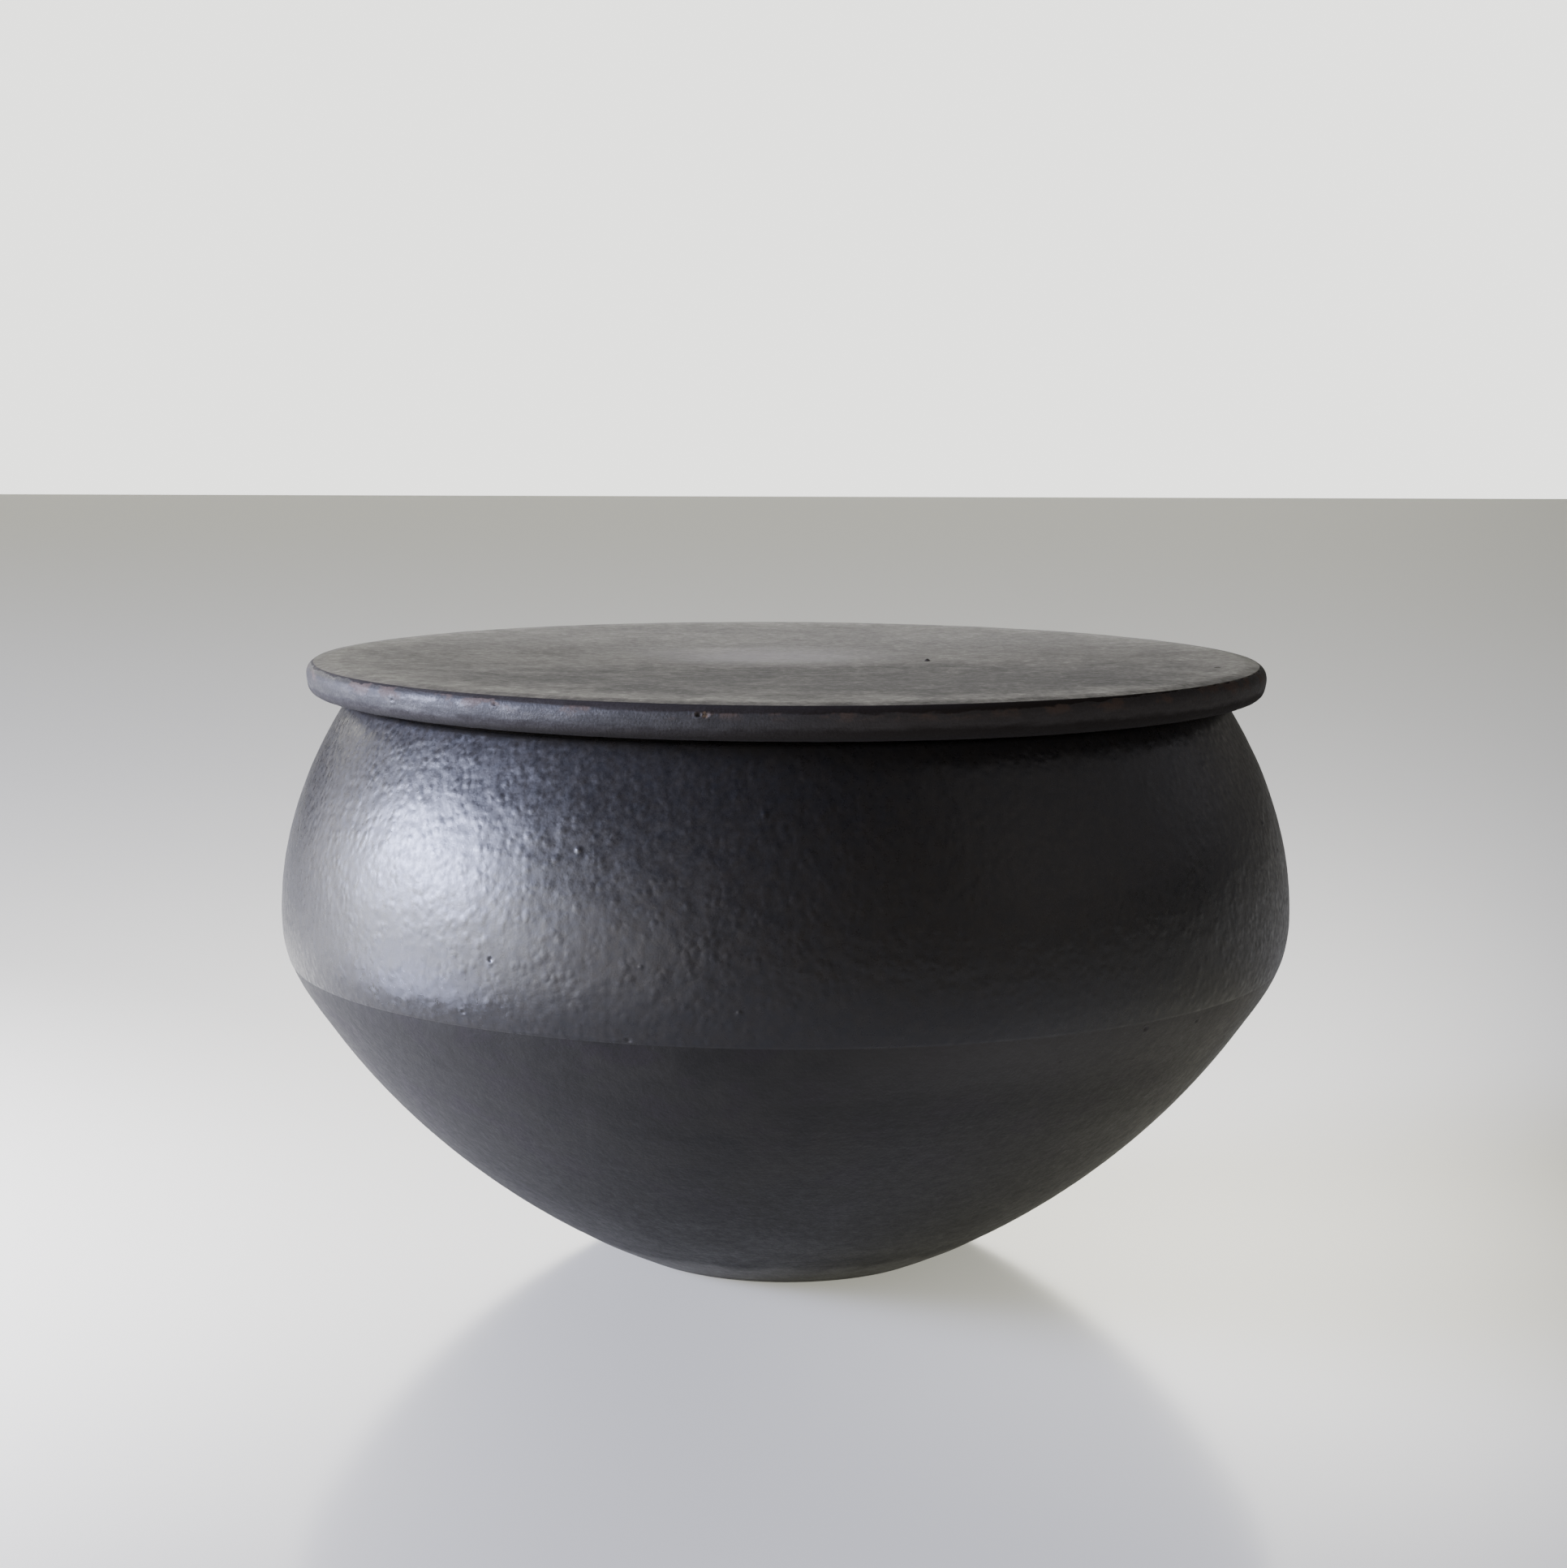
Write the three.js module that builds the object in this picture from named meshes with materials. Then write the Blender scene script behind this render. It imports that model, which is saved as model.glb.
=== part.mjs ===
// A wide, low stoneware water jar with a matching flat lid, both thrown and turned on a wheel.
// Sizes are in millimetres. +Z is up, and the origin is the middle of the foot, on the table.

import * as THREE from 'three';

// Jar, outside. A slope is the wall's lean from upright, in degrees: outward is positive.
const FOOT_RADIUS = 38;
const FOOT_SLOPE = 66;
const LOWER_WALL_HEIGHT = 58;
const BEND_SLOPE = 35;
const BEND_HEIGHT = 26;
const BEND_INSET = 11;
const BELLY_RADIUS = 120;
const SHOULDER_HEIGHT = 49.7;
const SHOULDER_SLOPE = -33;

// Jar, inside and underneath
const WALL = 6;
const FLOOR_THICKNESS = 8;
const MOUTH_RADIUS = 97;
const LIP_WIDTH = 7;
const FOOT_RING_WIDTH = 10;
const FOOT_RECESS_DEPTH = 2;

// Lid
const LID_OVERHANG = 9.5;
const LID_THICKNESS = 8.8;
const LID_DISH_DEPTH = 1.8;
const CREST_INSET = 5.5;
const NOSE_DROP = 3.5;
const UNDERCUT_WIDTH = 6;
const RING_DEPTH = 5;
const RING_WIDTH = 6;

// Fits and edges
const SEAT_GAP = 0.3;
const RING_CLEARANCE = 1.5;
const EDGE_RADIUS = 1.2;

// Facets round the wheel's axis
const SEGMENTS = 64;

const STONEWARE_COLOUR = 0x262628;
const LID_COLOUR = 0x33302d;

// Heights and radii that follow from the sizes above
const bendZ = LOWER_WALL_HEIGHT;
const bellyZ = bendZ + BEND_HEIGHT;
const mouthZ = bellyZ + SHOULDER_HEIGHT;
const lipRadius = MOUTH_RADIUS + LIP_WIDTH;
const lidUndersideZ = mouthZ + SEAT_GAP;
const lidRadius = lipRadius + LID_OVERHANG;
const ringOuterRadius = MOUTH_RADIUS - RING_CLEARANCE;
const ringInnerRadius = ringOuterRadius - RING_WIDTH;

function point(radius, height) {
  return new THREE.Vector2(radius, height);
}

// The unit step up a wall that leans by so many degrees
function along(slope) {
  const angle = THREE.MathUtils.degToRad(slope);
  return point(Math.sin(angle), Math.cos(angle));
}

// A smooth wall between two points, which leaves and arrives at the slopes given.
// The reach is how far each end keeps its slope, as a share of the distance between them.
function sweep(from, fromSlope, to, toSlope, reach, steps) {
  const pull = from.distanceTo(to) * reach;
  const curve = new THREE.CubicBezierCurve(
    from,
    from.clone().addScaledVector(along(fromSlope), pull),
    to.clone().addScaledVector(along(toSlope), -pull),
    to
  );
  return curve.getPoints(steps);
}

// A round corner of the given radius between two straight edges that meet at a point
function roundCorner(before, corner, after, radius, steps = 3) {
  const start = corner.clone().add(before.clone().sub(corner).setLength(radius));
  const end = corner.clone().add(after.clone().sub(corner).setLength(radius));
  return new THREE.QuadraticBezierCurve(start, corner, end).getPoints(steps);
}

// The same line moved sideways by a distance, to the left of its own direction
function offset(line, distance) {
  return line.map((here, i) => {
    const before = line[Math.max(i - 1, 0)];
    const after = line[Math.min(i + 1, line.length - 1)];
    const direction = after.clone().sub(before).normalize();
    return here.clone().add(point(-direction.y, direction.x).multiplyScalar(distance));
  });
}

// One outline from several stretches, with points that repeat left out
function join(...stretches) {
  return stretches.flat().filter((here, i, all) => i === 0 || here.distanceTo(all[i - 1]) > 1e-4);
}

// The outside of the jar's wall, from the foot's edge to the mouth
function jarOutside() {
  const foot = point(FOOT_RADIUS, 0);
  const bend = point(BELLY_RADIUS - BEND_INSET, bendZ);
  const belly = point(BELLY_RADIUS, bellyZ);
  const lip = point(lipRadius, mouthZ);
  return join(
    sweep(foot, FOOT_SLOPE, bend, BEND_SLOPE, 0.33, 11),
    sweep(bend, BEND_SLOPE, belly, 0, 0.41, 5),
    sweep(belly, 0, lip, SHOULDER_SLOPE, 0.34, 9)
  );
}

// The inside runs a wall's thickness in from the outside, and rounds into a level floor
function jarInside(outside) {
  const floorZ = FOOT_RECESS_DEPTH + FLOOR_THICKNESS;
  const wall = offset(outside, WALL).filter((p) => p.y > 2 * floorZ && p.y < mouthZ - EDGE_RADIUS);
  const lowest = wall[0];
  const climb = wall[1].clone().sub(lowest);
  const slope = THREE.MathUtils.radToDeg(Math.atan2(climb.x, climb.y));
  const floorEdge = point(FOOT_RADIUS - FOOT_RING_WIDTH, floorZ);
  return join([point(0, floorZ)], sweep(floorEdge, 90, lowest, slope, 0.36, 4), wall);
}

function jarProfile() {
  const outside = jarOutside();
  const inside = jarInside(outside);
  const lipOutside = outside.pop();
  const lipInside = point(MOUTH_RADIUS, mouthZ);
  const recessRadius = FOOT_RADIUS - FOOT_RING_WIDTH;
  const recessEdge = point(recessRadius, 0);
  const recessTop = point(recessRadius, FOOT_RECESS_DEPTH);
  return join(
    [point(0, FOOT_RECESS_DEPTH), recessTop, recessEdge],
    outside,
    roundCorner(outside.at(-1), lipOutside, lipInside, EDGE_RADIUS),
    roundCorner(lipOutside, lipInside, inside.at(-1), EDGE_RADIUS),
    inside.reverse()
  );
}

function lidProfile() {
  const topZ = lidUndersideZ + LID_THICKNESS;
  const crest = point(lidRadius - CREST_INSET, topZ);
  const nose = point(lidRadius, topZ - NOSE_DROP);
  const undercut = point(lidRadius - UNDERCUT_WIDTH, lidUndersideZ);
  const ringOuterTop = point(ringOuterRadius, lidUndersideZ);
  const ringOuterFoot = point(ringOuterRadius, lidUndersideZ - RING_DEPTH);
  const ringInnerFoot = point(ringInnerRadius, lidUndersideZ - RING_DEPTH);
  const ringInnerTop = point(ringInnerRadius, lidUndersideZ);
  const dish = sweep(point(0, topZ - LID_DISH_DEPTH), 90, crest, 90, 0.4, 8);
  return join(
    [point(0, lidUndersideZ)],
    roundCorner(point(0, lidUndersideZ), ringInnerTop, ringInnerFoot, EDGE_RADIUS),
    roundCorner(ringInnerTop, ringInnerFoot, ringOuterFoot, EDGE_RADIUS),
    roundCorner(ringInnerFoot, ringOuterFoot, ringOuterTop, EDGE_RADIUS),
    [ringOuterTop],
    sweep(undercut, 75, nose, 0, 0.36, 5),
    sweep(nose, 0, crest, -90, 0.4, 5),
    dish.reverse()
  );
}

function turnedPiece(name, profile, colour, roughness) {
  const lathe = new THREE.LatheGeometry(profile, SEGMENTS);
  const geometry = lathe.rotateX(Math.PI / 2);
  const material = new THREE.MeshStandardMaterial({ color: colour, roughness, metalness: 0 });
  const mesh = new THREE.Mesh(geometry, material);
  mesh.name = name;
  return mesh;
}

const jar = new THREE.Group();
jar.add(turnedPiece('jar_body', jarProfile(), STONEWARE_COLOUR, 0.45));
jar.add(turnedPiece('lid', lidProfile(), LID_COLOUR, 0.5));

export default jar;
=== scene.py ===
"""A wide, low stoneware water jar with a flat lid: its visible surfaces, its light and its camera."""

import math
import random

import bmesh
import bpy
import numpy as np
from mathutils import Matrix, Vector, noise
from mathutils.kdtree import KDTree


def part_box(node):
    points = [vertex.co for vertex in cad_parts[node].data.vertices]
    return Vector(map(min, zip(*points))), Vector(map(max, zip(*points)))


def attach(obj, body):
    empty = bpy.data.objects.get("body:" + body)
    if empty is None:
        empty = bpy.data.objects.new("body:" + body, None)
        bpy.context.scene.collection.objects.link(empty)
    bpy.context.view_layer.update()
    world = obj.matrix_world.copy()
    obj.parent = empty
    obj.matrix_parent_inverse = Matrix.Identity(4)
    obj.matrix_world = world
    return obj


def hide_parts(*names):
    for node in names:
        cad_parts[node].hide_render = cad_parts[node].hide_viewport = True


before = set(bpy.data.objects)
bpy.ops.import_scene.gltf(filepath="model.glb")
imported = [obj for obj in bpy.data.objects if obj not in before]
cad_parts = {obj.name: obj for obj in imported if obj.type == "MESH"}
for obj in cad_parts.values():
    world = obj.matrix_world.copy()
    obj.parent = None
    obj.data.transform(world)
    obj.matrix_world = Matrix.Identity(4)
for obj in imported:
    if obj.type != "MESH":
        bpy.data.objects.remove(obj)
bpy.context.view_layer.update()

# Sizes below are in millimetres, as the pieces are turned, and MM takes them to Blender's metres.
MM = 0.001

# Sizes that the frame gives
jar_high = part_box("jar_body")[1]
lid_low, lid_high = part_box("lid")
BELLY_RADIUS = jar_high.x / MM
MOUTH_HEIGHT = jar_high.z / MM
LID_RADIUS = lid_high.x / MM
LID_TOP = lid_high.z / MM
LID_RING_FOOT = lid_low.z / MM

# Jar, outside. A slope is the wall's lean from upright, in degrees: outward is positive.
FOOT_RADIUS = 38.0
FOOT_SLOPE = 66.0
BEND_HEIGHT = 58.0
BEND_SLOPE = 35.0
BEND_RADIUS = BELLY_RADIUS - 11.0
BELLY_HEIGHT = BEND_HEIGHT + 26.0
SHOULDER_SLOPE = -33.0
CREASE_HEIGHT = 73.1
FOOT_LINE_HEIGHT = 9.0
FOOT_NICK_HEIGHT = 1.3
# The step at the crease at the front, and how much lower it is at the right, and higher at the left
CREASE_STEP = 0.11
CREASE_STEP_CHANGE = 0.05
# Stretches of the crease with crumbs of clay: the middle and width of each, in degrees round from the front
BURR_SECTORS = ((342, 40), (120, 50), (235, 70))
BURR_HEIGHT = 0.16
# A low ring round the shoulder, under the lid
SHOULDER_BAND_HEIGHT = 117.5
# How far apart the rings are that fingers and tools left, outside and inside
OUTER_RING_PITCH = 6.2
INNER_RING_PITCH = 5.5

# Jar, inside and underneath
WALL = 6.0
FLOOR_THICKNESS = 8.0
MOUTH_RADIUS = 97.0
LIP_RADIUS = MOUTH_RADIUS + 7.0
FOOT_RING_WIDTH = 10.0
FOOT_RECESS_DEPTH = 2.0
EDGE_RADIUS = 1.2
RECESS_EDGE_RADIUS = 0.6

# Lid
LID_UNDERSIDE = MOUTH_HEIGHT + 0.3
LID_DISH_DEPTH = 1.8
CREST_INSET = 5.5
EDGE_INSET = 1.6
EDGE_DROP = 0.45
NOSE_DROP = 3.3
FACE_DROP = 5.7
FACE_INSET = 0.35
UNDERCUT_WIDTH = 6.0
UNDERCUT_RISE = 0.5
LID_BACK_LIFT = 0.25
LID_LEFT_LIFT = 0.3
RING_OUTER_RADIUS = MOUTH_RADIUS - 1.5
RING_WIDTH = 6.0

# Patches of the lid's top: the middle in plan, and the half widths across and in depth
PALE_PATCH = ((-5, 20), (36, 28))
DARK_CLOUD = ((14, -50), (92, 52))
# The smoother ring along the edge of the lid's top
MARGIN_WIDTH = 20
# The chip in the lid's rim
CHIP_CENTRE = (-16.4, -112.0, 140.4)
CHIP_RADIUS = 1.0

# Where the skins change: where each change starts, and where it is complete. A side is a place along X, and a
# back is one along Y. A depth is how far a place on the rim lies below the edge of the lid's top.
JAR_DULL_SIDE = (85, 117)
# Painted light: a paler band just below the crease on the right side, which evens out the tone at the crease
PALE_HEIGHTS = (CREASE_HEIGHT - 17, CREASE_HEIGHT)
PALE_SIDE = (-10, 60)
# Painted shade: the trimmed skin darkens from the first height down to the second
LOW_SHADE_HEIGHTS = (48, 20)
# Painted shade: a darker band over the shallow groove at the foot line, above the wiped band
FOOT_LINE_HEIGHTS = (FOOT_LINE_HEIGHT + 3.5, FOOT_LINE_HEIGHT + 1)
WIPED_HEIGHTS = (FOOT_LINE_HEIGHT, FOOT_LINE_HEIGHT - 2.5)
WIPED_WANDER = 1.2
LID_BACK = (0, 70)
LID_SIDE = (0, 80)
RIM_MATT_SIDE = (-35, 30)
RIM_POLISHED_SIDE = (-90, -108)
# Partly painted reflection: the dark brown line under the rim's edge also stands in for the dark room mirrored
# in the rounded edge
RIM_LINE_LEFT = (-85, -20)
RIM_LINE_RIGHT = (30, 90)
RIM_LINE_WANDER = 0.35
RIM_COPPER_DEPTHS = (3.6, 1.2)
# Painted shade: the rim is darker from the first depth down to the second, where it tucks under
RIM_TUCKED_DEPTHS = (3.9, 5.4)

# How fine the meshes are: faces round a ring out to each radius, and steps along the profile
RING_SEGMENTS = ((4, 30), (10, 60), (24, 120), (56, 240), (999, 480))
COARSE_STEP = 2.0
SIDE_STEP = 1.1
FINE_STEP = 0.25
EDGE_STEP = 0.8
RIM_STEP = 0.28
MARGIN_STEP = 0.3
TOP_STEP = 0.9

# Marks that the photograph shows on the jar: degrees round from the front, height, width and depth.
# A mark that stands out has a negative depth.
JAR_MARKS = (
    (-30.9, 89.0, 1.4, 0.28),
    (40.2, 71.4, 1.6, 0.26),
    (49.3, 70.2, 1.3, 0.22),
    (30.0, 67.1, 1.0, 0.18),
    (-16.0, 73.9, 1.6, 0.18),
    (-34.3, 76.8, 1.2, 0.18),
    (-21.4, 112.3, 1.8, -0.2),
    (-14.5, 89.1, 1.2, -0.14),
    (-4.3, 80.5, 1.3, -0.2),
    (-2.5, 120.5, 1.6, -0.18),
)
# How far from its middle a mark can be felt
MARK_REACH = 2.5
# How many of its widths round a mark the mesh is divided, twice over, and the least width that counts for that
MARK_ROOMS = (1.6, 1.1)
MARK_ROOM_WIDTH = 1.5
# The raised ring round a pit: its height as a share of the pit's depth, and its place and width as shares of
# the pit's radius
PIT_RING_HEIGHT = 0.18
PIT_RING_MIDDLE = 1.15
PIT_RING_WIDTH = 0.35
# More marks, on the sides that the photograph doesn't show. A nub stands out. Depths are shares of the width.
HIDDEN_MARKS = 26
HIDDEN_SECTOR = (58, 302)
HIDDEN_WIDTHS = (0.9, 1.7)
NUB_SHARE = 0.6
NUB_HEIGHTS = (76, 124)
NUB_DEPTH = -0.13
PIT_HEIGHTS = (30, 120)
PIT_DEPTH = 0.18
# Thin pale scratches low on the jar: each end's degrees round from the front, and its height
SCRATCHES = (((-11.9, 19.7), (-8.4, 18.9)), ((-2.6, 11.9), (0.4, 11.2)), ((0.4, 11.2), (3.0, 11.3)))
SCRATCH_WIDTH = 0.5

# Marks on the lid: place, width and depth, which is negative for the lump of grit on its top
LID_MARKS = (
    ((33.8, 4.3, 141.2), 1.7, -0.6),
    ((99.5, -24.6, 142.4), 1.8, 0.4),
    ((-17.8, -111.9, 140.4), 1.3, 0.5),
    ((-16.2, -112.1, 140.5), 1.6, 0.25),
    ((-61.0, -95.3, 140.9), 1.2, 0.25),
    ((-84.0, -76.0, 139.6), 1.0, 0.25),
)

# The camera, from the outline of the jar in the photograph
CAMERA_DISTANCE = 708.3
CAMERA_ELEVATION = 7.304
CAMERA_AIM = (-0.6, 0.0, 112.1)
CAMERA_ROLL = 0.175
CAMERA_LENS = 67.6
CAMERA_SENSOR = 36.0

# The light. Angles are in degrees: azimuths go round from +X towards +Y, and +Y is behind the jar.
# A glow is (azimuth, half its width, bottom, top, soft edge, colour). The pool is light on the floor to the
# left, outside the picture, and a weak one lightens the jar's shadow.
WINDOW_AZIMUTH = 182.9
WINDOW_DISTANCE = 3000
WINDOW_HALF_WIDTH = 13.6
WINDOW_BOTTOM = 7.9
WINDOW_TOP = 20.1
WINDOW_RADIANCE = 130
WINDOW_COLOUR = (0.605, 0.668, 1.06)
SKY_GLOW = (186.3, 22.9, -17.5, 19.3, 14, (15.8, 16.3, 17.6))
CURTAIN_GLOW = (190.5, 52, -6.2, 11.3, 12, (5.2, 5.05, 5.1))
WALL_GLOW = (103.5, 27, 13, 21.3, 6, (10.6, 10.3, 9.3))
CORNER_GLOW = (52, 14, 4, 14, 5, (0.34, 0.32, 0.29))
RIGHT_GLOW = (-6, 43.5, 6.5, 85, 8, (0.42, 0.41, 0.44))
FRONT_GLOW = (270, 80, -20, 35, 22, (0.31, 0.27, 0.22))
GLOWS = (SKY_GLOW, CURTAIN_GLOW, WALL_GLOW, CORNER_GLOW, RIGHT_GLOW, FRONT_GLOW)
FLOOR_REACH = 6000
FLOOR_COLOUR = (0.52, 0.5, 0.465, 1)
FLOOR_ROUGHNESS = 0.15
FLOOR_IOR = 1.3
FLOOR_GLOW = (0.25, 0.25, 0.21)
SHADOW_CENTRE = (150, -60, 0)
SHADOW_RADIUS = 205
SHADOW_SOFT = 155
SHADOW_GLOW = (0.25, 0.245, 0.22)
POOL_CENTRE = (-620, -130, 0)
POOL_RADIUS = 610
POOL_SOFT = 450
POOL_GLOW = (3.5, 3.5, 3.7)
BACKDROP_COLOUR = (2.45, 2.45, 2.35, 1)


# Curves


def along(slope):
    """The unit step up a wall that leans by so many degrees, as (radius, height)."""
    return np.array([math.sin(math.radians(slope)), math.cos(math.radians(slope))])


def sweep(start, start_slope, end, end_slope, reach, steps=240):
    """A smooth wall between two points, which leaves and arrives at the slopes given."""
    start, end = np.array(start, float), np.array(end, float)
    pull = np.linalg.norm(end - start) * reach
    a = start + along(start_slope) * pull
    b = end - along(end_slope) * pull
    t = np.linspace(0, 1, steps + 1)[:, None]
    return (1 - t) ** 3 * start + 3 * (1 - t) ** 2 * t * a + 3 * (1 - t) * t**2 * b + t**3 * end


def round_corner(before, corner, after, radius, steps=8):
    """A round corner between two straight edges that meet at a point."""
    before, corner, after = (np.array(p, float) for p in (before, corner, after))
    start = corner + (before - corner) / np.linalg.norm(before - corner) * radius
    end = corner + (after - corner) / np.linalg.norm(after - corner) * radius
    t = np.linspace(0, 1, steps + 1)[:, None]
    return (1 - t) ** 2 * start + 2 * (1 - t) * t * corner + t**2 * end


def join(*stretches):
    """One outline from several stretches, with points that repeat left out."""
    line = np.vstack([np.atleast_2d(s) for s in stretches])
    step = np.linalg.norm(np.diff(line, axis=0), axis=1)
    return line[np.insert(step > 1e-4, 0, True)]


def paced(line, spacing):
    """The same line with points about so far apart, where the spacing may differ from height to height."""
    step = np.linalg.norm(np.diff(line, axis=0), axis=1)
    count = np.maximum(1, np.ceil(step / 0.1)).astype(int)
    at = np.concatenate([i + np.arange(n) / n for i, n in enumerate(count)] + [[len(line) - 1]])
    fine = np.column_stack([np.interp(at, np.arange(len(line)), line[:, k]) for k in (0, 1)])
    step = np.linalg.norm(np.diff(fine, axis=0), axis=1)
    middle = (fine[1:, 1] + fine[:-1, 1]) / 2
    run = np.insert(np.cumsum(step / (spacing(middle) if callable(spacing) else spacing)), 0, 0)
    at = np.linspace(0, run[-1], max(2, round(run[-1]) + 1))
    return np.column_stack([np.interp(at, run, fine[:, k]) for k in (0, 1)])


def normals(line):
    """Unit normals of a profile, to the right of its direction, which is outward on an outline."""
    step = np.gradient(line, axis=0)
    step /= np.linalg.norm(step, axis=1, keepdims=True)
    return np.column_stack([step[:, 1], -step[:, 0]])


def smooth(x, low, high):
    """0 below low, 1 above high, and smooth between them."""
    t = np.clip((x - low) / (high - low), 0, 1)
    return t * t * (3 - 2 * t)


def ridge(x, middle, width):
    """1 at the middle, and smoothly down to 0 at half a width on either side."""
    return 1 - smooth(np.abs(x - middle), 0, width / 2)


def lumps(points, size, octaves=2):
    """Smooth noise from about -1 to 1 at each point, whose lumps are so many millimetres wide."""
    return np.array([noise.fractal(Vector(p), 1.0, 2.0, octaves) for p in points / size])


# Turned pieces


def turn(name, stretches, materials, relief):
    """A turned piece. Each stretch is (points, material), from the axis underneath back to the axis."""
    line = np.vstack([points for points, _ in stretches])
    part = np.repeat([material for _, material in stretches], [len(points) for points, _ in stretches])
    new = np.insert(np.linalg.norm(np.diff(line, axis=0), axis=1) > 1e-4, 0, True)
    line, part = line[new], part[new]
    outward = normals(line)
    ring = [next(n for reach, n in RING_SEGMENTS if r <= reach) for r in line[:, 0]]
    ring[0] = ring[-1] = 1
    first = np.insert(np.cumsum(ring), 0, 0)

    row = np.repeat(np.arange(len(line)), ring)
    angle = (np.arange(len(row)) - first[row]) / np.array(ring)[row] * 2 * math.pi
    round_it = np.column_stack([np.cos(angle), np.sin(angle)])
    r, z = line[row].T
    push, lift = relief(angle, r, z, part[row])
    r = r + push * outward[row, 0]
    points = np.column_stack([round_it * r[:, None], z + push * outward[row, 1] + lift])

    faces, face_part = [], []
    for i in range(len(line) - 1):
        faces += faces_between(first[i], ring[i], first[i + 1], ring[i + 1])
        face_part += [int(part[i + 1])] * (len(faces) - len(face_part))

    mesh = bpy.data.meshes.new(name)
    mesh.from_pydata([tuple(p) for p in points * MM], [], faces)
    mesh.polygons.foreach_set("use_smooth", [True] * len(faces))
    for material in materials:
        mesh.materials.append(material)
    mesh.polygons.foreach_set("material_index", face_part)
    mesh.update()
    piece = bpy.data.objects.new(name, mesh)
    bpy.context.scene.collection.objects.link(piece)
    return piece


def faces_between(low, low_count, high, high_count):
    """Faces between two rings of points. One ring may be a single point, or have half the other's points."""
    faces = []
    if low_count == high_count:
        for j in range(low_count):
            k = (j + 1) % low_count
            faces.append((low + j, low + k, high + k, high + j))
    elif low_count == 1:
        faces = [(low, high + (j + 1) % high_count, high + j) for j in range(high_count)]
    elif high_count == 1:
        faces = [(high, low + j, low + (j + 1) % low_count) for j in range(low_count)]
    else:
        flip = low_count < high_count
        few, many = (low, high) if flip else (high, low)
        half = min(low_count, high_count)
        for j in range(half):
            k = (j + 1) % half
            side = [
                (many + 2 * j, many + 2 * j + 1, few + j),
                (many + 2 * j + 1, few + k, few + j),
                (many + 2 * j + 1, many + 2 * k, few + k),
            ]
            faces += [face[::-1] for face in side] if flip else side
    return faces


def mark(piece, marks):
    """Presses small round pits into a piece or raises nubs on it, on a finer mesh round each one."""
    mesh = bmesh.new()
    mesh.from_mesh(piece.data)
    surface = KDTree(len(mesh.verts))
    for i, v in enumerate(mesh.verts):
        surface.insert(v.co, i)
    surface.balance()
    centres = KDTree(len(marks))
    for i, (place, _, _) in enumerate(marks):
        centres.insert(surface.find(Vector(place) * MM)[0], i)
    centres.balance()
    for room in MARK_ROOMS:
        edges = {}
        mesh.edges.index_update()
        for v in mesh.verts:
            _, i, away = centres.find(v.co)
            if away < room * max(marks[i][1], MARK_ROOM_WIDTH) * MM:
                edges.update((e.index, e) for e in v.link_edges)
        bmesh.ops.subdivide_edges(mesh, edges=list(edges.values()), cuts=1, use_grid_fill=True)
    mesh.normal_update()
    moves = []
    for v in mesh.verts:
        push = 0
        for _, i, away in centres.find_range(v.co, MARK_REACH * MM):
            _, width, depth = marks[i]
            share = away / (width * MM / 2)
            hollow = (1 - share**2) ** 1.5 if share < 1 else 0
            raised = 0
            if depth > 0:
                raised = PIT_RING_HEIGHT * math.exp(-(((share - PIT_RING_MIDDLE) / PIT_RING_WIDTH) ** 2))
            push += (raised - hollow) * depth
        if push:
            moves.append((v, v.normal * push * MM))
    for v, move in moves:
        v.co += move
    bmesh.ops.triangulate(mesh, faces=[f for f in mesh.faces if len(f.verts) > 4])
    for face in mesh.faces:
        face.smooth = True
    mesh.to_mesh(piece.data)
    mesh.free()


# The jar

SKIN, TRIMMED, INSIDE, BARE = range(4)


def jar_outside():
    """The profile of the jar's outside, from the foot up to the mouth."""
    line = join(
        sweep((FOOT_RADIUS, 0), FOOT_SLOPE, (BEND_RADIUS, BEND_HEIGHT), BEND_SLOPE, 0.33),
        sweep((BEND_RADIUS, BEND_HEIGHT), BEND_SLOPE, (BELLY_RADIUS, BELLY_HEIGHT), 0, 0.41),
        sweep((BELLY_RADIUS, BELLY_HEIGHT), 0, (LIP_RADIUS, MOUTH_HEIGHT), SHOULDER_SLOPE, 0.34),
    )

    def spacing(height):
        fine = ridge(height, CREASE_HEIGHT, 7) + ridge(height, FOOT_NICK_HEIGHT, 4)
        return SIDE_STEP + (FINE_STEP - SIDE_STEP) * np.minimum(1, fine * 1.6)

    return paced(line, spacing)


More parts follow.
